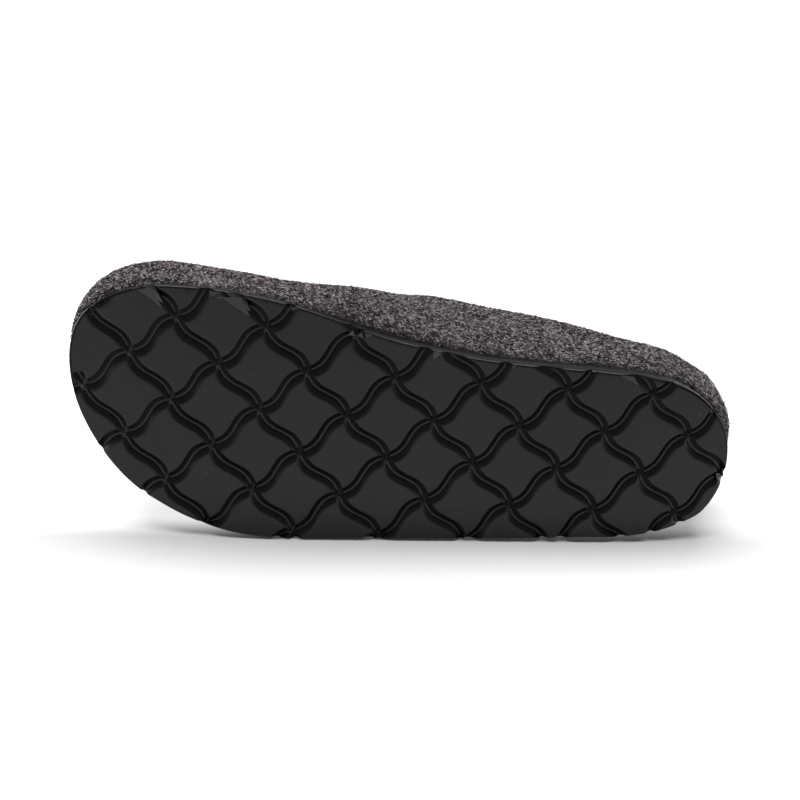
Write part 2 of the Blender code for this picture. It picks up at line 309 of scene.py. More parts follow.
def feltMaterial(name, brightness=1.0):
    material, tree, shader, place = newMaterial(name)
    wander = nodeIn(tree, "ShaderNodeTexNoise", Vector=place, Scale=felt["patchSize"], Detail=3.0)
    shift = tree.nodes.new("ShaderNodeVectorMath")
    shift.operation = "MULTIPLY_ADD"
    for socket, value in zip(shift.inputs, (wander.outputs["Color"], felt["wander"], place)):
        feed(tree, socket, value)
    drawn = stretchIn(tree, shift.outputs[0], felt["drawn"])
    fibre = nodeIn(tree, "ShaderNodeTexNoise", Vector=drawn, Scale=felt["heatherSize"], Detail=2.0)
    fibre.inputs["Roughness"].default_value = felt["heatherRough"]
    fibre.inputs["Distortion"].default_value = felt["heatherTwist"]
    patch = overIn(tree, wander.outputs["Fac"], 0.5, felt["patchGain"])
    heather = mathIn(tree, "ADD", fibre.outputs["Fac"], patch)
    stops = [(at, [part * brightness for part in tone]) for at, tone in felt["stops"]]
    colour = rampIn(tree, heather, stops)
    rosy = nodeIn(tree, "ShaderNodeTexNoise", Vector=place, Scale=felt["warmSize"], Detail=2.0)
    warm = overIn(tree, rosy.outputs["Fac"], felt["warmStart"], felt["warmGain"], True)
    toned = mixIn(tree, warm, felt["cool"], felt["brown"])
    colour = mixIn(tree, 1.0, colour, toned, "MULTIPLY")
    # painted shade in the crevice along the sole
    colour = mixIn(tree, attributeIn(tree, "crevice"), colour, felt["shade"])
    tree.links.new(colour, shader.inputs["Base Color"])
    shader.inputs["Roughness"].default_value = felt["roughness"]
    shader.inputs["Specular IOR Level"].default_value = felt["gloss"]
    shader.inputs["Sheen Weight"].default_value = felt["sheen"]
    shader.inputs["Sheen Roughness"].default_value = felt["sheenRough"]
    shader.inputs["Sheen Tint"].default_value = felt["sheenTone"]
    bumpIn(tree, shader, fibre.outputs["Fac"], felt["napBump"], felt["napDepth"])
    return material


# loose wool fibres of the nap, in clumps of dark, brown, grey and pale wool
nap = {
    "clumpSize": 1900.0,
    "clumpGain": 7.5,
    "strayGain": 0.7,
    "taper": 0.75,
    "skinLift": 0.4,
    "skinReach": 120.0,
    "floorClear": 2.5,
    "roughness": 0.9,
    "gloss": 0.2,
    "sheen": 0.05,
    "stops": (
        (0.00, (0.001, 0.001, 0.001)),
        (0.26, (0.007, 0.004, 0.003)),
        (0.40, (0.005, 0.005, 0.008)),
        (0.54, (0.056, 0.028, 0.020)),
        (0.68, (0.053, 0.053, 0.068)),
        (0.84, (0.300, 0.178, 0.136)),
        (1.00, (0.580, 0.545, 0.595)),
    ),
    # the long fibres' wool colours, warmed brown as painted back-light shining through them
    "longBacklitStops": (
        (0.00, (0.016, 0.011, 0.009)),
        (0.50, (0.110, 0.078, 0.064)),
        (1.00, (0.430, 0.360, 0.330)),
    ),
}


def napMaterial(name, stops):
    material, tree, shader = newMaterial(name)[:3]
    colour = rampIn(tree, attributeIn(tree, "tint"), stops)
    # painted shade on fibres near the sole
    colour = mixIn(tree, attributeIn(tree, "crevice"), colour, felt["shade"])
    tree.links.new(colour, shader.inputs["Base Color"])
    shader.inputs["Roughness"].default_value = nap["roughness"]
    shader.inputs["Specular IOR Level"].default_value = nap["gloss"]
    shader.inputs["Sheen Weight"].default_value = nap["sheen"]
    return material


# the sole's outline, read from the top edge of the CAD outsole
def soleOutline(count):
    points = nodePoints("outsole")
    edge = points[np.abs(points[:, 2] - soleTop(points[:, 0])) < soleBody["edgeWithin"]]
    edge = np.unique(edge[:, :2].round(3), axis=0)
    heel = edge[np.argmin(edge[:, 0])]
    toe = edge[np.argmax(edge[:, 0])]
    middle = heel[1] + (toe[1] - heel[1]) * (edge[:, 0] - heel[0]) / (toe[0] - heel[0])
    between = (edge[:, 0] > heel[0]) & (edge[:, 0] < toe[0])
    outer = edge[between & (edge[:, 1] > middle)]
    inner = edge[between & (edge[:, 1] < middle)]
    outer = outer[np.argsort(outer[:, 0])]
    inner = inner[np.argsort(-inner[:, 0])]
    corners = np.concatenate([[heel], outer, [toe], inner])
    line = bpy.data.curves.new("soleLine", "CURVE")
    spline = line.splines.new("BEZIER")
    spline.bezier_points.add(len(corners) - 1)
    for point, corner in zip(spline.bezier_points, corners):
        point.co = (*corner, 0.0)
        point.handle_left_type = "AUTO"
        point.handle_right_type = "AUTO"
    spline.use_cyclic_u = True
    spline.resolution_u = soleBody["curveSteps"]
    guide = bpy.data.objects.new("soleLine", line)
    bpy.context.scene.collection.objects.link(guide)
    graph = bpy.context.evaluated_depsgraph_get()
    smooth = np.array([v.co[:2] for v in guide.evaluated_get(graph).to_mesh().vertices])
    bpy.data.objects.remove(guide)
    bpy.data.curves.remove(line)
    closed = np.concatenate([smooth, smooth[:1]])
    run = np.r_[0.0, np.cumsum(np.linalg.norm(np.diff(closed, axis=0), axis=1))]
    at = np.linspace(0.0, run[-1], count, endpoint=False)
    loop = np.c_[np.interp(at, run, closed[:, 0]), np.interp(at, run, closed[:, 1])]
    centre, spread, height = soleBody["toeBulge"]
    bulge = height * np.exp(-(((loop[:, 0] - centre) / spread) ** 2))
    bulge *= ease(loop[:, 1], *soleBody["bulgeOuter"])
    return loop + outward(loop) * bulge[:, None]


def outward(loop):
    ahead = np.roll(loop, -2, axis=0) - np.roll(loop, 2, axis=0)
    normal = np.c_[-ahead[:, 1], ahead[:, 0]]
    normal /= np.linalg.norm(normal, axis=1)[:, None]
    grows = np.sum(normal * (loop - loop.mean(axis=0))) > 0
    return normal if grows else -normal


# outsole: a lofted body with rolled edges, cut from below by the wavy tile lattice
tread = {
    "diagonal": 35.0,
    "wave": 0.064,
    "origin": 158.0,
    "outerHalf": 4.2,
    "outerFade": 2.5,
    "innerHalf": 2.85,
    "depth": 1.6,
    "floorHalf": 0.40,
    "footSlope": 0.45,
    "shoulder": 0.12,
    "ridgeSlope": 0.7,
    "floorRound": 0.12,
    "ridgeDrop": 0.6,
    "ridgeRound": 0.15,
    "waveTurns": 12,
    # offsets from a groove's middle line at which the surface has points
    "stops": (
        *(0.0, 0.25, 0.46, 0.62, 0.82, 1.05, 1.3, 1.6, 1.9, 2.2),
        *(2.5, 2.8, 3.1, 3.45, 3.9, 4.8, 6.4, 8.2, 10.2),
    ),
    "exitDeeper": 0.6,
    "exitReach": (0.5, 5.0),
    "cellsBack": -6,
    "cellsOn": 7,
    "margin": 7.0,
    "below": -9.0,
    "tilt": 0.10,
    "swell": 0.05,
    "swellFade": (6.0, 14.0),
    "exitOuter": (0.0, 15.0),
    "ridgeReach": 3.0,
    "ridgeWithin": 1e-6,
    "tileSeed": 11,
    # where the rubber gets painted shade, darker and less glossy: on a groove's inner wall, on the rim at
    # both ends, on the side
    "shadeWall": (0.25, 0.55),
    "shadeShoulder": (2.7, 3.05),
    "shadeCross": (1.0, 2.6),
    "shadeDeep": (0.05, 0.25),
    "shadeHigh": (2.2, 3.0),
    "shadeToe": (244.0, 258.0),
    "shadeHeel": (14.0, 30.0),
    "shadeRim": (0.5, 1.1),
    "shadeInner": (0.0, 12.0),
    "shadeSide": (0.92, 1.03),
    "shadeEdge": (0.6, 0.9),
}
tilePitch = tread["diagonal"] / math.sqrt(2.0)
soleBody = {
    "around": 460,
    "rollInner": 0.9,
    "rollOuter": 1.1,
    "toeBulge": (219.0, 18.0, 1.2),
    "bulgeOuter": (0.0, 20.0),
    "edgeWithin": 0.05,
    "curveSteps": 10,
    "baseLift": 2.0,
    "baseOver": -0.02,
    "aboveRoll": 0.15,
    "rollSteps": (15.0, 32.0, 50.0, 70.0, 90.0),
    "outerSide": (-0.3, 0.6),
    "leastWall": 0.75,
    "sharpAngle": 38.0,
    "atOnce": 4000,
    "lip": ((0.0, -0.55), (0.16, -0.16), (0.55, 0.0)),
}


def softOver(value, soft):
    # value where it is well above zero, zero well below, rounded between
    return np.where(value > soft, value, np.where(value < -soft, 0.0, (value + soft) ** 2 / (4.0 * soft)))


def softLeast(one, other, soft):
    return other - softOver(other - one, soft)


def wallDepth(offset):
    # depth of one groove at an offset from its middle line, which counts up to the outer side:
    # the inner wall steepens to a crisp edge, the outer one runs out softly
    off = np.maximum(np.abs(offset) - tread["floorHalf"], 0.0)
    width = tread["innerHalf"] - tread["floorHalf"]
    steepen = (tread["depth"] - tread["footSlope"] * width) / width**2
    inner = softOver(tread["depth"] - tread["footSlope"] * off - steepen * off**2, tread["shoulder"])
    part = np.clip(off / (tread["outerHalf"] - tread["floorHalf"]), 0.0, 1.0)
    return np.where(offset < 0.0, inner, tread["depth"] * (1.0 - part) ** tread["outerFade"])


def trenchDepth(fromFirst, fromSecond):
    wall = np.maximum(wallDepth(fromFirst), wallDepth(fromSecond))
    apart = np.abs(np.abs(fromFirst) - np.abs(fromSecond))
    ridge = tread["ridgeSlope"] * apart / math.sqrt(2.0) + tread["ridgeDrop"]
    deep = softLeast(wall, ridge, tread["ridgeRound"])
    return softLeast(deep, tread["depth"], tread["floorRound"])


def latticePoint(first, second):
    # straight lattice steps to the place of the waved lines
    p, q = first.copy(), second.copy()
    for turn in range(tread["waveTurns"]):
        p = first + tread["wave"] * np.sin(2.0 * math.pi * q)
        q = second - tread["wave"] * np.sin(2.0 * math.pi * p)
    back = tread["diagonal"] * (p + q) / 2.0
    side = tread["diagonal"] * (p - q) / 2.0
    return tread["origin"] - back, side


def edgeDistance(along, across, outline):
    spots = np.c_[along, across]
    best = np.empty(len(spots))
    for start in range(0, len(spots), soleBody["atOnce"]):
        part = slice(start, start + soleBody["atOnce"])
        apart = spots[part, None, :] - outline[None, :, :]
        best[part] = np.sqrt((apart**2).sum(axis=2).min(axis=1))
    return best


def insideOutline(along, across, outline):
    inside = np.zeros(len(along), bool)
    ahead = np.roll(outline, -1, axis=0)
    for (a0, c0), (a1, c1) in zip(outline, ahead):
        crosses = (c0 > across) != (c1 > across)
        if c0 != c1:
            inside ^= crosses & (along < (a1 - a0) * (across - c0) / (c1 - c0) + a0)
    return inside


def latticeLines():
    # close together in the grooves, wide apart on the tiles
    steps = np.array(tread["stops"]) / tilePitch
    half = np.r_[steps, 0.5]
    cell = np.r_[half, (1.0 - steps[1:])[::-1]]
    return np.concatenate([cell + k for k in range(tread["cellsBack"], tread["cellsOn"])])


def tileSwell(first, second):
    # each tile leans and swells a little by itself
    draw = np.random.default_rng(tread["tileSeed"])
    span = tread["cellsOn"] - tread["cellsBack"] + 2
    leans = draw.uniform(-1.0, 1.0, (span, span, 3))
    i = np.floor(first).astype(int) - tread["cellsBack"]
    j = np.floor(second).astype(int) - tread["cellsBack"]
    lean = leans[i, j]
    offP = first - np.floor(first) - 0.5
    offQ = second - np.floor(second) - 0.5
    return tread["tilt"] * (lean[:, 0] * offP + lean[:, 1] * offQ) + tread["swell"] * lean[:, 2]


def splitRidges(bm, fromFirst, fromSecond):
    # faces on the diagonals of a crossing are split along its ridges
    onRidge = np.abs(np.abs(fromFirst) - np.abs(fromSecond)) < tread["ridgeWithin"]
    onRidge &= np.abs(fromFirst) < tread["ridgeReach"]
    ridges = []
    for face in bm.faces:
        level = [onRidge[v.index] for v in face.verts]
        if level[0] and level[2]:
            ridges.append((face, face.verts[0], face.verts[2]))
        elif level[1] and level[3]:
            ridges.append((face, face.verts[1], face.verts[3]))
    for face, one, two in ridges:
        bmesh.utils.face_split(face, one, two)


def closeBelow(bm):
    # walls down from the rim of the surface, and a flat base under it
    rim = [edge for edge in bm.edges if edge.is_boundary]
    grown = bmesh.ops.extrude_edge_only(bm, edges=rim)["geom"]
    low = [part for part in grown if isinstance(part, bmesh.types.BMVert)]
    spots = toShoe([v.co for v in low])
    base = toWorld(spots[:, 0], spots[:, 1], np.full(len(low), tread["below"]))
    for vert, place in zip(low, base):
        vert.co = place
    bmesh.ops.contextual_create(bm, geom=[edge for edge in bm.edges if edge.is_boundary])
    bmesh.ops.recalc_face_normals(bm, faces=bm.faces)


def treadCutter(outline):
    lines = latticeLines()
    count = len(lines) - 1
    bm = bmesh.new()
    bmesh.ops.create_grid(bm, x_segments=count, y_segments=count, size=0.5)
    bm.verts.ensure_lookup_table()
    flat = np.array([v.co for v in bm.verts])
    column = np.rint((flat[:, 0] + 0.5) * count).astype(int)
    row = np.rint((flat[:, 1] + 0.5) * count).astype(int)
    first, second = lines[column], lines[row]
    along, across = latticePoint(first, second)
    reach = edgeDistance(along, across, outline)
    keep = insideOutline(along, across, outline) | (reach < tread["margin"])
    fromFirst = (first - np.rint(first)) * tilePitch
    fromSecond = (np.rint(second) - second) * tilePitch
    depth = trenchDepth(fromFirst, fromSecond)
    # grooves run deeper where they leave the outer rim
    leaving = (1.0 - ease(reach, *tread["exitReach"])) * ease(across, *tread["exitOuter"])
    depth *= 1.0 + tread["exitDeeper"] * leaving
    onTile = (1.0 - np.clip(depth / tread["depth"], 0.0, 1.0)) * ease(reach, *tread["swellFade"])
    up = underside(along) + depth + tileSwell(first, second) * onTile
    dropped = []
    for vert, place, kept in zip(bm.verts, toWorld(along, across, up), keep):
        vert.co = place
        if not kept:
            dropped.append(vert)
    splitRidges(bm, fromFirst, fromSecond)
    bmesh.ops.delete(bm, geom=dropped, context="VERTS")
    closeBelow(bm)
    return bm


# corners cut or filled flat where grooves run out at the rim, with a painted highlight where the groove
# wall catches light:
# three places along and across, how deep the third one is sunk, and how pale the painted highlight is
facets = {
    "sunk": -0.03,
    "fill": 1.6,
    "clear": 4.0,
    "flatWithin": 0.01,
    "sameWay": 0.999,
    "corners": (
        ((247.0, -45.0), (233.5, -38.0), (238.0, -45.0), -0.03, 0.35),
        ((244.5, -47.5), (233.5, -40.0), (238.5, -49.0), 0.5, 0.9),
        ((213.5, -45.5), (199.5, -39.0), (203.5, -46.5), -0.03, 0.3),
        ((211.0, -48.5), (199.5, -41.0), (203.0, -49.5), 0.5, 0.5),
        ((258.5, -38.0), (251.0, -43.0), (257.0, -43.5), 0.2, 0.8),
        ((272.0, -17.0), (261.5, -7.0), (270.5, -3.5), -0.03, 0.0),
        ((161.0, -34.5), (158.0, -34.5), (159.0, -36.5), 0.5, 0.7),
        ((157.0, -34.5), (154.5, -33.5), (155.5, -36.0), 0.5, 0.7),
        ((154.5, -36.5), (153.5, -33.5), (150.0, -36.0), 0.3, 0.45),
        ((126.5, -31.0), (126.0, -27.0), (122.5, -29.0), 0.4, 0.55),
        ((94.5, -28.5), (94.0, -25.0), (91.0, -28.0), 0.4, 0.45),
        ((216.0, -45.0), (211.5, -47.5), (216.0, -47.5), 0.4, 0.5),
        ((184.0, -43.0), (180.5, -44.0), (183.5, -44.5), 0.4, 0.5),
        ((62.0, -25.5), (58.0, -27.0), (61.5, -27.5), 0.4, 0.5),
        ((50.5, -25.5), (42.0, -21.5), (44.5, -25.0), 0.5, 0.6),
        ((10.5, -11.0), (9.0, -11.0), (10.0, -13.0), 0.3, 1.0),
        ((3.0, 16.5), (2.0, 19.5), (1.0, 16.5), 0.3, 0.6),
    ),
}


def facetCorners(spots, sunk):
    along = np.array([spot[0] for spot in spots])
    across = np.array([spot[1] for spot in spots])
    return along, across, underside(along) + np.array([facets["sunk"], facets["sunk"], sunk])


def facetTool(name, rise, material):
    # a three-cornered post on each such corner, up into the sole or down off it
    bm = bmesh.new()
    upward = Vector(shoeTurn[:, 1])
    for *spots, sunk, tone in facets["corners"]:
        if rise < 0.0 and sunk < 0.0:
            continue  # a level corner is only filled
        ring = bmesh.ops.create_circle(bm, cap_ends=True, segments=3, radius=mm)["verts"]
        for vert, place in zip(ring, toWorld(*facetCorners(spots, sunk))):
            vert.co = place
        face = list(ring[0].link_faces)
        grown = bmesh.ops.extrude_face_region(bm, geom=face, use_keep_orig=True)["geom"]
        far = [part for part in grown if isinstance(part, bmesh.types.BMVert)]
        bmesh.ops.translate(bm, verts=far, vec=upward * rise * mm)
    bmesh.ops.recalc_face_normals(bm, faces=bm.faces)
    return newPiece(name, bm, material)


def markFacets(mesh):
    # painted highlight: each corner's flat face gets its pale tone
    worn = mesh.attributes.new("worn", "FLOAT", "FACE")
    for *spots, sunk, tone in facets["corners"]:
        ends = [Vector(place) for place in toWorld(*facetCorners(spots, sunk))]
        middle = (ends[0] + ends[1] + ends[2]) / 3.0
        normal = (ends[1] - ends[0]).cross(ends[2] - ends[0]).normalized()
        for polygon in mesh.polygons:
            level = abs((polygon.center - middle).dot(normal)) < facets["flatWithin"] * mm
            if level and abs(polygon.normal.dot(normal)) > facets["sameWay"]:
                if geometry.intersect_point_tri(polygon.center, *ends):
                    worn.data[polygon.index].value = tone


def markPaintedShade(mesh, outline):
    # painted shade, darker and less glossy, on the inner wall of each groove, the side wall, and the rim
    # under the wool at both ends
    points = np.empty(len(mesh.vertices) * 3)
    mesh.vertices.foreach_get("co", points)
    along, across, up = toShoe(points.reshape(-1, 3)).T
    p = (tread["origin"] - along + across) / tread["diagonal"]
    q = (tread["origin"] - along - across) / tread["diagonal"]
    first = p - tread["wave"] * np.sin(2.0 * math.pi * q)
    second = q + tread["wave"] * np.sin(2.0 * math.pi * p)
    high = up - underside(along)
    dull = np.zeros(len(along))
    offsets = ((first - np.rint(first)) * tilePitch, (np.rint(second) - second) * tilePitch)
    for offset, other in (offsets, offsets[::-1]):
        wall = ease(-offset, *tread["shadeWall"]) * (1.0 - ease(-offset, *tread["shadeShoulder"]))
        dull = np.maximum(dull, wall * ease(np.abs(other), *tread["shadeCross"]))
    dull *= ease(high, *tread["shadeDeep"]) * (1.0 - ease(high, *tread["shadeHigh"]))
    reach = edgeDistance(along, across, outline)
    ends = ease(along, *tread["shadeToe"]) + 1.0 - ease(along, *tread["shadeHeel"])
    rim = ends * (1.0 - ease(reach, *tread["shadeRim"])) * (1.0 - ease(across, *tread["shadeInner"]))
    side = ease(high, *tread["shadeSide"]) * (1.0 - ease(reach, *tread["shadeEdge"]))
    dull = np.maximum(dull, np.maximum(rim, side))
    mesh.attributes.new("dull", "FLOAT", "POINT").data.foreach_set("value", dull)


def placeRing(verts, ringIndex, loop, up):
    world = toWorld(loop[:, 0], loop[:, 1], up)
    for vert in verts:
        vert.co = world[vert[ringIndex]]


def lofted(outline):
    # rings from a flat base under the tread, round the rolled edges, to the top
    normal = outward(outline)
    count = len(outline)
    bm = bmesh.new()
    ringIndex = bm.verts.layers.int.new("ring")
    bmesh.ops.create_circle(bm, segments=count, radius=1.0)
    bm.verts.ensure_lookup_table()
    for k, vert in enumerate(bm.verts):
        vert[ringIndex] = k
    outer = ease(normal[:, 1], *soleBody["outerSide"])
    roll = soleBody["rollInner"] + (soleBody["rollOuter"] - soleBody["rollInner"]) * outer
    wall = soleTop(outline[:, 0]) - underside(outline[:, 0]) - soleBody["leastWall"]
    roll = np.minimum(roll, wall)[:, None]
    levels = [(roll, None, tread["below"] + soleBody["baseLift"]), (roll, underside, soleBody["baseOver"])]
    for step in soleBody["rollSteps"]:
        turn = math.radians(step)
        levels.append((roll * (1.0 - math.sin(turn)), underside, roll[:, 0] * (1.0 - math.cos(turn))))
    levels.append((0.0, underside, roll[:, 0] + soleBody["aboveRoll"]))
    levels += [(inset, soleTop, drop) for inset, drop in soleBody["lip"]]
    ring = list(bm.verts)
    edges = list(bm.edges)
    bottom = None
    for inset, height, extra in levels:
        loop = outline - normal * inset
        up = np.full(count, extra) if height is None else height(outline[:, 0]) + extra
        if bottom is None:
            bottom = edges
        else:
            grown = bmesh.ops.extrude_edge_only(bm, edges=edges)["geom"]
            ring = [part for part in grown if isinstance(part, bmesh.types.BMVert)]
            edges = [
                part
                for part in grown
                if isinstance(part, bmesh.types.BMEdge) and all(v in set(ring) for v in part.verts)
            ]
        placeRing(ring, ringIndex, loop, up)
    bmesh.ops.contextual_create(bm, geom=bottom)
    capped = bmesh.ops.contextual_create(bm, geom=edges)["faces"]
    bmesh.ops.triangulate(bm, faces=capped, quad_method="BEAUTY", ngon_method="BEAUTY")
    bmesh.ops.recalc_face_normals(bm, faces=bm.faces)
    return bm


def buildOutsole():
    material = rubberMaterial()
    outline = soleOutline(soleBody["around"])
    outsole = newPiece("outsoleTread", lofted(outline), material)
    cutter = newPiece("treadCutter", treadCutter(outline), material)
    cleared = facetTool("cornerCut", -facets["clear"], material)
    filled = facetTool("cornerFill", facets["fill"], material)
    whole = newPiece("wholeSole", lofted(outline), material)
    trim = filled.modifiers.new("trim", "BOOLEAN")
    trim.operation = "INTERSECT"
    trim.solver = "MANIFOLD"
    trim.object = whole
    for tool, operation in ((cutter, "DIFFERENCE"), (cleared, "DIFFERENCE"), (filled, "UNION")):
        step = outsole.modifiers.new(tool.name, "BOOLEAN")
        step.operation = operation
        step.solver = "MANIFOLD"
        step.object = tool
    bakeModifiers(outsole)
    for tool in (cutter, cleared, filled, whole):
        bpy.data.objects.remove(tool)
    outsole.data.shade_smooth()
    outsole.data.set_sharp_from_angle(angle=math.radians(soleBody["sharpAngle"]))
    markFacets(outsole.data)
    markPaintedShade(outsole.data, outline)
    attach(outsole, "root")
    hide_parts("outsole")
    print("outsole", len(outsole.data.polygons), "faces")


# upper: the CAD shell made smooth, with slow lumps of the felt
upperShell = {
    "lumps": ((16.0, 0.35), (5.0, 0.16), (2.2, 0.10)),
    # place along, across, up; how far it spreads; how far it swells
    "puffs": (
        (262.0, -34.0, 32.0, 24.0, 0.85),
        (-3.0, 3.0, 24.0, 12.0, 1.2),
        (8.0, -14.0, 34.0, 16.0, -1.3),
        (38.0, -24.0, 44.0, 20.0, -0.8),
        (78.0, -29.0, 48.0, 34.0, 0.8),
        (131.0, -31.0, 61.0, 16.0, 0.6),
        (172.0, -40.0, 50.0, 22.0, -1.0),
        (220.0, -44.0, 43.0, 30.0, -0.6),
    ),
    "puffFall": 1.5,
    "hangToe": (218.0, 248.0),
    "hangHeel": (14.0, 38.0),
    "hang": (2.3, 3.4),
    "drop": (1.9, 6.2),
    "dropToe": (-20.0, 0.0),
    "dropHeel": (0.0, 16.0),
    "tuckHeight": 3.2,
    "tuckDepth": 0.9,
    "creviceShadeHeight": 8.0,
}


def swellAt(spots):
    rise = np.zeros(len(spots))
    for along, across, up, spread, height in upperShell["puffs"]:
        far = np.linalg.norm(spots - np.array([along, across, up]), axis=1) / spread
        rise += height * np.exp(-(far**2) * upperShell["puffFall"])
    return rise


# how the solids' triangles are merged, paired into quads and made smooth
smoothing = {"merge": 1e-6, "faceAngle": 1.2, "shapeAngle": 2.4, "levels": 2}


def smoothCopy(name, node, material):
    bm = bmesh.new()
    bm.from_mesh(frame["nodes"][node].data)
    bmesh.ops.remove_doubles(bm, verts=bm.verts, dist=smoothing["merge"])
    bmesh.ops.join_triangles(
        bm,
        faces=bm.faces,
        angle_face_threshold=smoothing["faceAngle"],
        angle_shape_threshold=smoothing["shapeAngle"],
    )
    piece = newPiece(name, bm, material)
    subdivision = piece.modifiers.new("smooth", "SUBSURF")
    subdivision.levels = smoothing["levels"]
    subdivision.render_levels = smoothing["levels"]
    bakeModifiers(piece)
    return piece


def buildUpper():
    material = feltMaterial("woolFelt")
    upper = smoothCopy("feltUpper", "upper", material)
    mesh = upper.data
    spots = toShoe([v.co for v in mesh.vertices])
    above = spots[:, 2] - soleTop(spots[:, 0])
    low = np.clip(1.0 - above / upperShell["tuckHeight"], 0.0, 1.0)
    toeEnd = ease(spots[:, 0], *upperShell["hangToe"])
    heelEnd = 1.0 - ease(spots[:, 0], *upperShell["hangHeel"])
    hang = upperShell["hang"][0] * toeEnd + upperShell["hang"][1] * heelEnd
    swell = swellAt(spots) + (hang - upperShell["tuckDepth"]) * low**2
    toeFall = upperShell["drop"][0] * toeEnd * (1.0 - ease(spots[:, 1], *upperShell["dropToe"]))
    heelFall = upperShell["drop"][1] * heelEnd * (1.0 - ease(spots[:, 1], *upperShell["dropHeel"]))
    falls = (toeFall + heelFall) * low**2
    downward = Vector(-shoeTurn[:, 1])
    swollen = []
    for vert, rise, fall in zip(mesh.vertices, swell, falls):
        for size, height in upperShell["lumps"]:
            rise += height * noise.noise(vert.co / (size * mm))
        swollen.extend(vert.co + (vert.normal * rise + downward * fall) * mm)
    # painted shade: the felt darkens towards the sole, in the crevice along its top edge
    crevice = mesh.attributes.new("crevice", "FLOAT", "POINT")
    dark = np.clip(1.0 - above / upperShell["creviceShadeHeight"], 0.0, 1.0) ** 2
    crevice.data.foreach_set("value", dark)
    mesh.vertices.foreach_set("co", swollen)
    mesh.update()
    mesh.shade_smooth()
    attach(upper, "root")
    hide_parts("upper")
    print("upper", len(mesh.polygons), "faces")
    return upper


def hairShape(name, length, width, bends):
    # a three-sided tapered fibre that stands on the origin
    bm = bmesh.new()
    bmesh.ops.create_circle(bm, cap_ends=True, segments=3, radius=width / 2.0 * mm)
    face = bm.faces[:][0]
    stepLength = length * mm / (len(bends) + 1)
    for bend in bends:
        grown = bmesh.ops.extrude_discrete_faces(bm, faces=[face])
        face = grown["faces"][0]
        ring = list(face.verts)
        bmesh.ops.translate(bm, verts=ring, vec=Vector((0.0, 0.0, stepLength)))
        bmesh.ops.rotate(bm, verts=ring, cent=Vector(), matrix=Matrix.Rotation(bend, 3, "X"))
        bmesh.ops.scale(bm, verts=ring, vec=Vector((nap["taper"], nap["taper"], 1.0)))
    tip = bmesh.ops.poke(bm, faces=[face])["verts"][0]
    tip.co += Vector((0.0, 0.0, stepLength))
    bmesh.ops.recalc_face_normals(bm, faces=bm.faces)
    mesh = bpy.data.meshes.new(name)
    bm.to_mesh(mesh)
    bm.free()
    return bpy.data.objects.new(name, mesh)


def randomIn(tree, kind, seed, ends=None):
    # a value of its own for each fibre
    node = tree.nodes.new("FunctionNodeRandomValue")
    node.data_type = kind
    node.inputs["Seed"].default_value = seed
    if ends is not None:
        shown = [socket for socket in node.inputs if socket.enabled and socket.name in ("Min", "Max")]
        for socket, value in zip(shown, ends):
            socket.default_value = value
    return next(socket for socket in node.outputs if socket.enabled)


def fibreTurn(tree, layer, normal):
    # upright on the felt, faced along the heading, then leant over and spun at random
    ahead = Vector(toWorld(*layer["heading"]) - toWorld(0.0, 0.0, 0.0)).normalized()
    upright = nodeIn(tree, "FunctionNodeAlignRotationToVector", Vector=normal)
    upright.axis = "Z"
    faced = nodeIn(tree, "FunctionNodeAlignRotationToVector", Rotation=upright.outputs[0], Vector=ahead)
    faced.axis = "Y"
    faced.pivot_axis = "Z"
    least, most = (math.radians(angle) for angle in layer["lean"])
    spin = math.radians(layer["spin"])
    ends = ((least, 0.0, -spin), (most, 0.0, spin))
    lean = randomIn(tree, "FLOAT_VECTOR", layer["seed"] + 1, ends)
    euler = nodeIn(tree, "FunctionNodeEulerToRotation", Euler=lean)
    turned = nodeIn(tree, "FunctionNodeRotateRotation", Rotation=faced.outputs[0])
    turned.rotation_space = "LOCAL"
    tree.links.new(euler.outputs[0], turned.inputs["Rotate By"])
    return turned.outputs[0]


def fibreTint(tree, seed):
    # clumps of like wool with stray fibres among them
    spot = tree.nodes.new("GeometryNodeInputPosition").outputs[0]
    drawn = stretchIn(tree, spot, felt["drawn"])
    clump = nodeIn(tree, "ShaderNodeTexNoise", Vector=drawn, Scale=nap["clumpSize"], Detail=1.0)
    gathered = overIn(tree, clump.outputs[0], 0.5, nap["clumpGain"])
    loose = overIn(tree, randomIn(tree, "FLOAT", seed), 0.5, nap["strayGain"])
    return mathIn(tree, "ADD", mathIn(tree, "ADD", gathered, loose), 0.5, True)


def fibreTree(layer, density, store):
    tree = bpy.data.node_groups.new(layer["name"], "GeometryNodeTree")
    for way in ("INPUT", "OUTPUT"):
        tree.interface.new_socket("Geometry", in_out=way, socket_type="NodeSocketGeometry")
    start = tree.nodes.new("NodeGroupInput")
    end = tree.nodes.new("NodeGroupOutput")
    spread = nodeIn(tree, "GeometryNodeDistributePointsOnFaces", Mesh=start.outputs[0])
    spread.inputs["Density"].default_value = density
    spread.inputs["Seed"].default_value = layer["seed"]
    picked = nodeIn(tree, "GeometryNodeCollectionInfo", Collection=store, Separate_Children=True)
    named = nodeIn(tree, "GeometryNodeStoreNamedAttribute", Geometry=spread.outputs["Points"], Name="tint")
    named.data_type = "FLOAT"
    named.domain = "POINT"
    tint = next(socket for socket in named.inputs if socket.name == "Value" and socket.enabled)
    tree.links.new(fibreTint(tree, layer["seed"] + 3), tint)
    placed = nodeIn(
        tree,
        "GeometryNodeInstanceOnPoints",
        Points=named.outputs[0],
        Instance=picked.outputs[0],
        Pick_Instance=True,
        Rotation=fibreTurn(tree, layer, spread.outputs["Normal"]),
        Scale=randomIn(tree, "FLOAT", layer["seed"] + 2, layer["size"]),
    )
    real = nodeIn(tree, "GeometryNodeRealizeInstances", Geometry=placed.outputs[0])
    tree.links.new(real.outputs[0], end.inputs[0])
    return tree


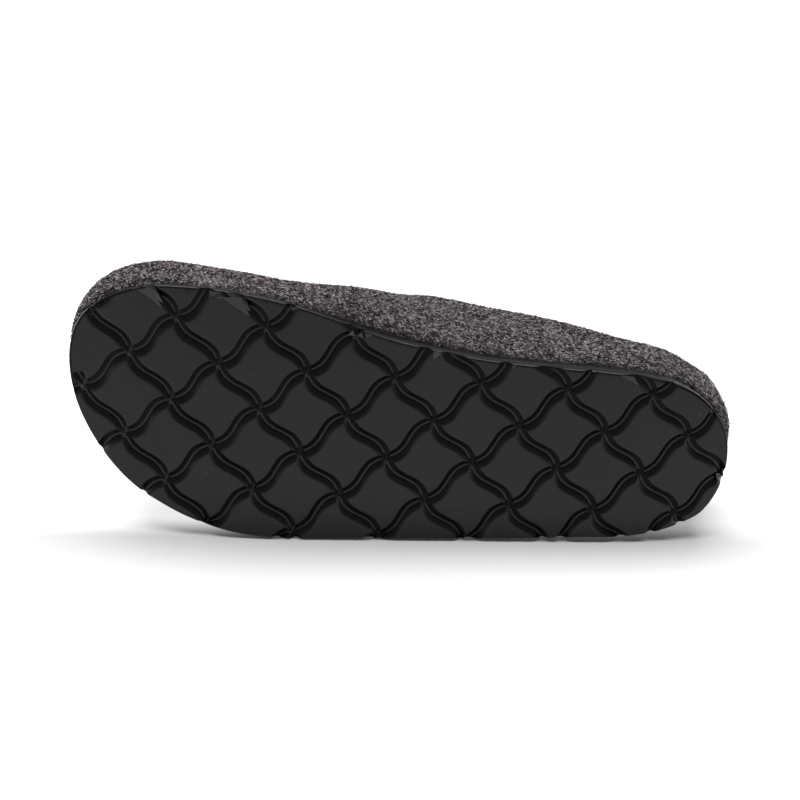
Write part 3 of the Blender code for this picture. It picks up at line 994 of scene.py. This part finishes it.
def growNap(layer, ground, material):
    name = layer["name"]
    store = bpy.data.collections.new(name + "Shapes")
    shapes = [
        hairShape("%sFibre%d" % (name, k), layer["length"], layer["width"], bends)
        for k, bends in enumerate(layer["bends"])
    ]
    for shape in shapes:
        store.objects.link(shape)
    area = sum(polygon.area for polygon in ground.polygons)
    tree = fibreTree(layer, layer["count"] / area, store)
    piece = bpy.data.objects.new(name, ground.copy())
    bpy.context.scene.collection.objects.link(piece)
    grow = piece.modifiers.new("grow", "NODES")
    grow.node_group = tree
    bakeModifiers(piece)
    piece.data.materials.clear()
    piece.data.materials.append(material)
    for shape in shapes:
        bpy.data.objects.remove(shape)
    bpy.data.collections.remove(store)
    bpy.data.node_groups.remove(tree)
    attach(piece, "root")
    print(name, len(piece.data.polygons), "faces")


def outerSkin(upper):
    # the shell's faces that look out into the open, not across the inside and not onto the floor
    bm = bmesh.new()
    bm.from_mesh(upper.data)
    tree = BVHTree.FromBMesh(bm)
    inner = []
    for face in bm.faces:
        start = face.calc_center_median() + face.normal * nap["skinLift"] * mm
        met = tree.ray_cast(start, face.normal, nap["skinReach"] * mm)[0]
        if start.z < nap["floorClear"] * mm or met is not None:
            inner.append(face)
    bmesh.ops.delete(bm, geom=inner, context="FACES")
    mesh = bpy.data.meshes.new("napGround")
    bm.to_mesh(mesh)
    bm.free()
    return mesh


# short fibres lie flat both ways along the shoe, leant in degrees off upright
napShort = {
    "name": "napShort",
    "count": 46000,
    "length": 1.3,
    "width": 0.34,
    "bends": ((),),
    "heading": (1, 0, 0),
    "lean": (62.0, 90.0),
    "spin": 80.0,
    "size": (0.5, 1.35),
    "seed": 21,
}
napCross = {**napShort, "name": "napCross", "lean": (-90.0, -62.0), "seed": 83}

# long thin fibres stand off the felt in four bent shapes, coloured partly as wool and partly warmed brown
# as painted back-light
napLong = {
    "name": "napLong",
    "count": 12000,
    "length": 2.8,
    "width": 0.14,
    "bends": ((0.35, 0.3), (-0.3, 0.45), (0.5, -0.4), (0.2, 0.55)),
    "heading": (1, 0, 0),
    "lean": (0.0, 68.0),
    "spin": 180.0,
    "size": (0.5, 1.3),
    "seed": 57,
}

# fibres of the lowest felt hang down over the rim of the sole at the toe and the heel
napRim = {
    "name": "napRim",
    "count": 9000,
    "length": 2.4,
    "width": 0.34,
    "bends": ((0.3,),),
    "heading": (0, 0, -1),
    "lean": (-88.0, -55.0),
    "spin": 50.0,
    "size": (0.5, 1.3),
    "seed": 31,
    "toe": 236.0,
    "heel": 26.0,
    "high": 5.0,
}


def lowEdge(ground):
    bm = bmesh.new()
    bm.from_mesh(ground)
    spots = toShoe([face.calc_center_median() for face in bm.faces])
    above = spots[:, 2] - soleTop(spots[:, 0])
    ends = (spots[:, 0] > napRim["toe"]) | (spots[:, 0] < napRim["heel"])
    high = [face for face, keep in zip(bm.faces, ends & (above < napRim["high"])) if not keep]
    bmesh.ops.delete(bm, geom=high, context="FACES")
    mesh = bpy.data.meshes.new("rimGround")
    bm.to_mesh(mesh)
    bm.free()
    return mesh


def buildNap(upper):
    wool = napMaterial("napWool", nap["stops"])
    fringe = napMaterial("fringeWool", nap["longBacklitStops"])
    ground = outerSkin(upper)
    edge = lowEdge(ground)
    growNap(napShort, ground, wool)
    growNap(napCross, ground, wool)
    growNap(napLong, ground, fringe)
    growNap(napRim, edge, wool)
    bpy.data.meshes.remove(ground)
    bpy.data.meshes.remove(edge)


def buildFootbed():
    material = feltMaterial("footbedFelt", felt["footbedBrightness"])
    footbed = smoothCopy("footbed", "insole", material)
    footbed.data.shade_smooth()
    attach(footbed, "root")
    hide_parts("insole")
    print("footbed", len(footbed.data.polygons), "faces")


# studio: a pale floor, a wide soft light above and a card behind, and the photo's view
studio = {
    "camera": (-0.0756, -0.7447, 0.4263),
    "aim": (-0.0044, -0.0363, 0.0612),
    "roll": 3.61,
    "lens": 90.0,
    "sensor": 36.0,
    "nearest": 0.01,
    "floorSize": 4.0,
    "floorTone": (0.86, 0.86, 0.87, 1.0),
    "floorRough": 0.9,
    "floorGloss": 0.2,
    "floorGrain": 300.0,
    "floorBump": 0.02,
    # the floor's own glow, painted light that is low along the shoe's lower edge and leaves a painted
    # shadow band there: from where to where it rises, and how far
    "glowBack": (-0.044, -0.026, 0.75),
    "glowSide": (-0.05, 0.10, 0.45),
    "glowFront": (-0.044, -0.078, 0.12),
    "world": 0.15,
    # name, place, aim, size, power
    "lights": (
        ("ceiling", (-0.2, 0.42, 2.2), (-0.2, 0.42, 0.0), (2.6, 1.8), 78.0),
        ("backCard", (0.0, 1.9, 0.75), (0.0, 0.0, 0.25), (3.2, 1.3), 4.5),
    ),
}


def buildFloor():
    bm = bmesh.new()
    bmesh.ops.create_grid(bm, x_segments=2, y_segments=2, size=studio["floorSize"])
    material, tree, shader, place = newMaterial("paperFloor")
    grain = nodeIn(tree, "ShaderNodeTexNoise", Vector=place, Scale=studio["floorGrain"], Detail=2.0)
    bump = nodeIn(tree, "ShaderNodeBump", Height=grain.outputs["Fac"], Strength=studio["floorBump"])
    tree.links.new(bump.outputs["Normal"], shader.inputs["Normal"])
    shader.inputs["Base Color"].default_value = studio["floorTone"]
    shader.inputs["Emission Color"].default_value = (1.0, 1.0, 1.0, 1.0)
    shader.inputs["Roughness"].default_value = studio["floorRough"]
    shader.inputs["Specular IOR Level"].default_value = studio["floorGloss"]
    # painted light: the floor glows by itself, low along the shoe's lower edge and rising behind and in
    # front of it, the part behind weaker off to one side, which leaves a painted shadow band along the
    # edge
    spot = nodeIn(tree, "ShaderNodeSeparateXYZ", Vector=place)
    glows = []
    for start, full, strength in (studio["glowBack"], studio["glowFront"]):
        lit = spanIn(tree, spot.outputs["Y"], start, full, 0.0, strength)
        lit.interpolation_type = "SMOOTHSTEP"
        glows.append(lit.outputs[0])
    start, full, least = studio["glowSide"]
    sideways = spanIn(tree, spot.outputs["X"], start, full, 1.0, least)
    glow = mathIn(tree, "ADD", mathIn(tree, "MULTIPLY", glows[0], sideways.outputs[0]), glows[1])
    tree.links.new(glow, shader.inputs["Emission Strength"])
    newPiece("floor", bm, material)


def buildLights(scene):
    for name, place, aim, size, power in studio["lights"]:
        lamp = bpy.data.lights.new(name, "AREA")
        lamp.shape = "RECTANGLE"
        lamp.size, lamp.size_y = size
        lamp.energy = power
        light = bpy.data.objects.new(name, lamp)
        light.location = place
        light.rotation_euler = (Vector(aim) - Vector(place)).to_track_quat("-Z", "Y").to_euler()
        scene.collection.objects.link(light)
    scene.world = bpy.data.worlds.new("studio")
    scene.world.use_nodes = True
    sky = scene.world.node_tree.nodes["Background"]
    sky.inputs["Color"].default_value = (1.0, 1.0, 1.0, 1.0)
    sky.inputs["Strength"].default_value = studio["world"]


def buildCamera(scene):
    lens = bpy.data.cameras.new("camera")
    lens.lens = studio["lens"]
    lens.sensor_width = studio["sensor"]
    lens.clip_start = studio["nearest"]
    camera = bpy.data.objects.new("camera", lens)
    look = Vector(studio["aim"]) - Vector(studio["camera"])
    roll = Matrix.Rotation(math.radians(studio["roll"]), 3, "Z")
    turn = look.to_track_quat("-Z", "Y").to_matrix() @ roll
    camera.matrix_world = Matrix.Translation(studio["camera"]) @ turn.to_4x4()
    scene.collection.objects.link(camera)
    scene.camera = camera


def buildStudio():
    scene = bpy.context.scene
    buildFloor()
    buildLights(scene)
    buildCamera(scene)
    scene.view_settings.view_transform = "Standard"
    print("studio set")


def main():
    buildStudio()
    buildOutsole()
    upper = buildUpper()
    buildNap(upper)
    buildFootbed()


main()
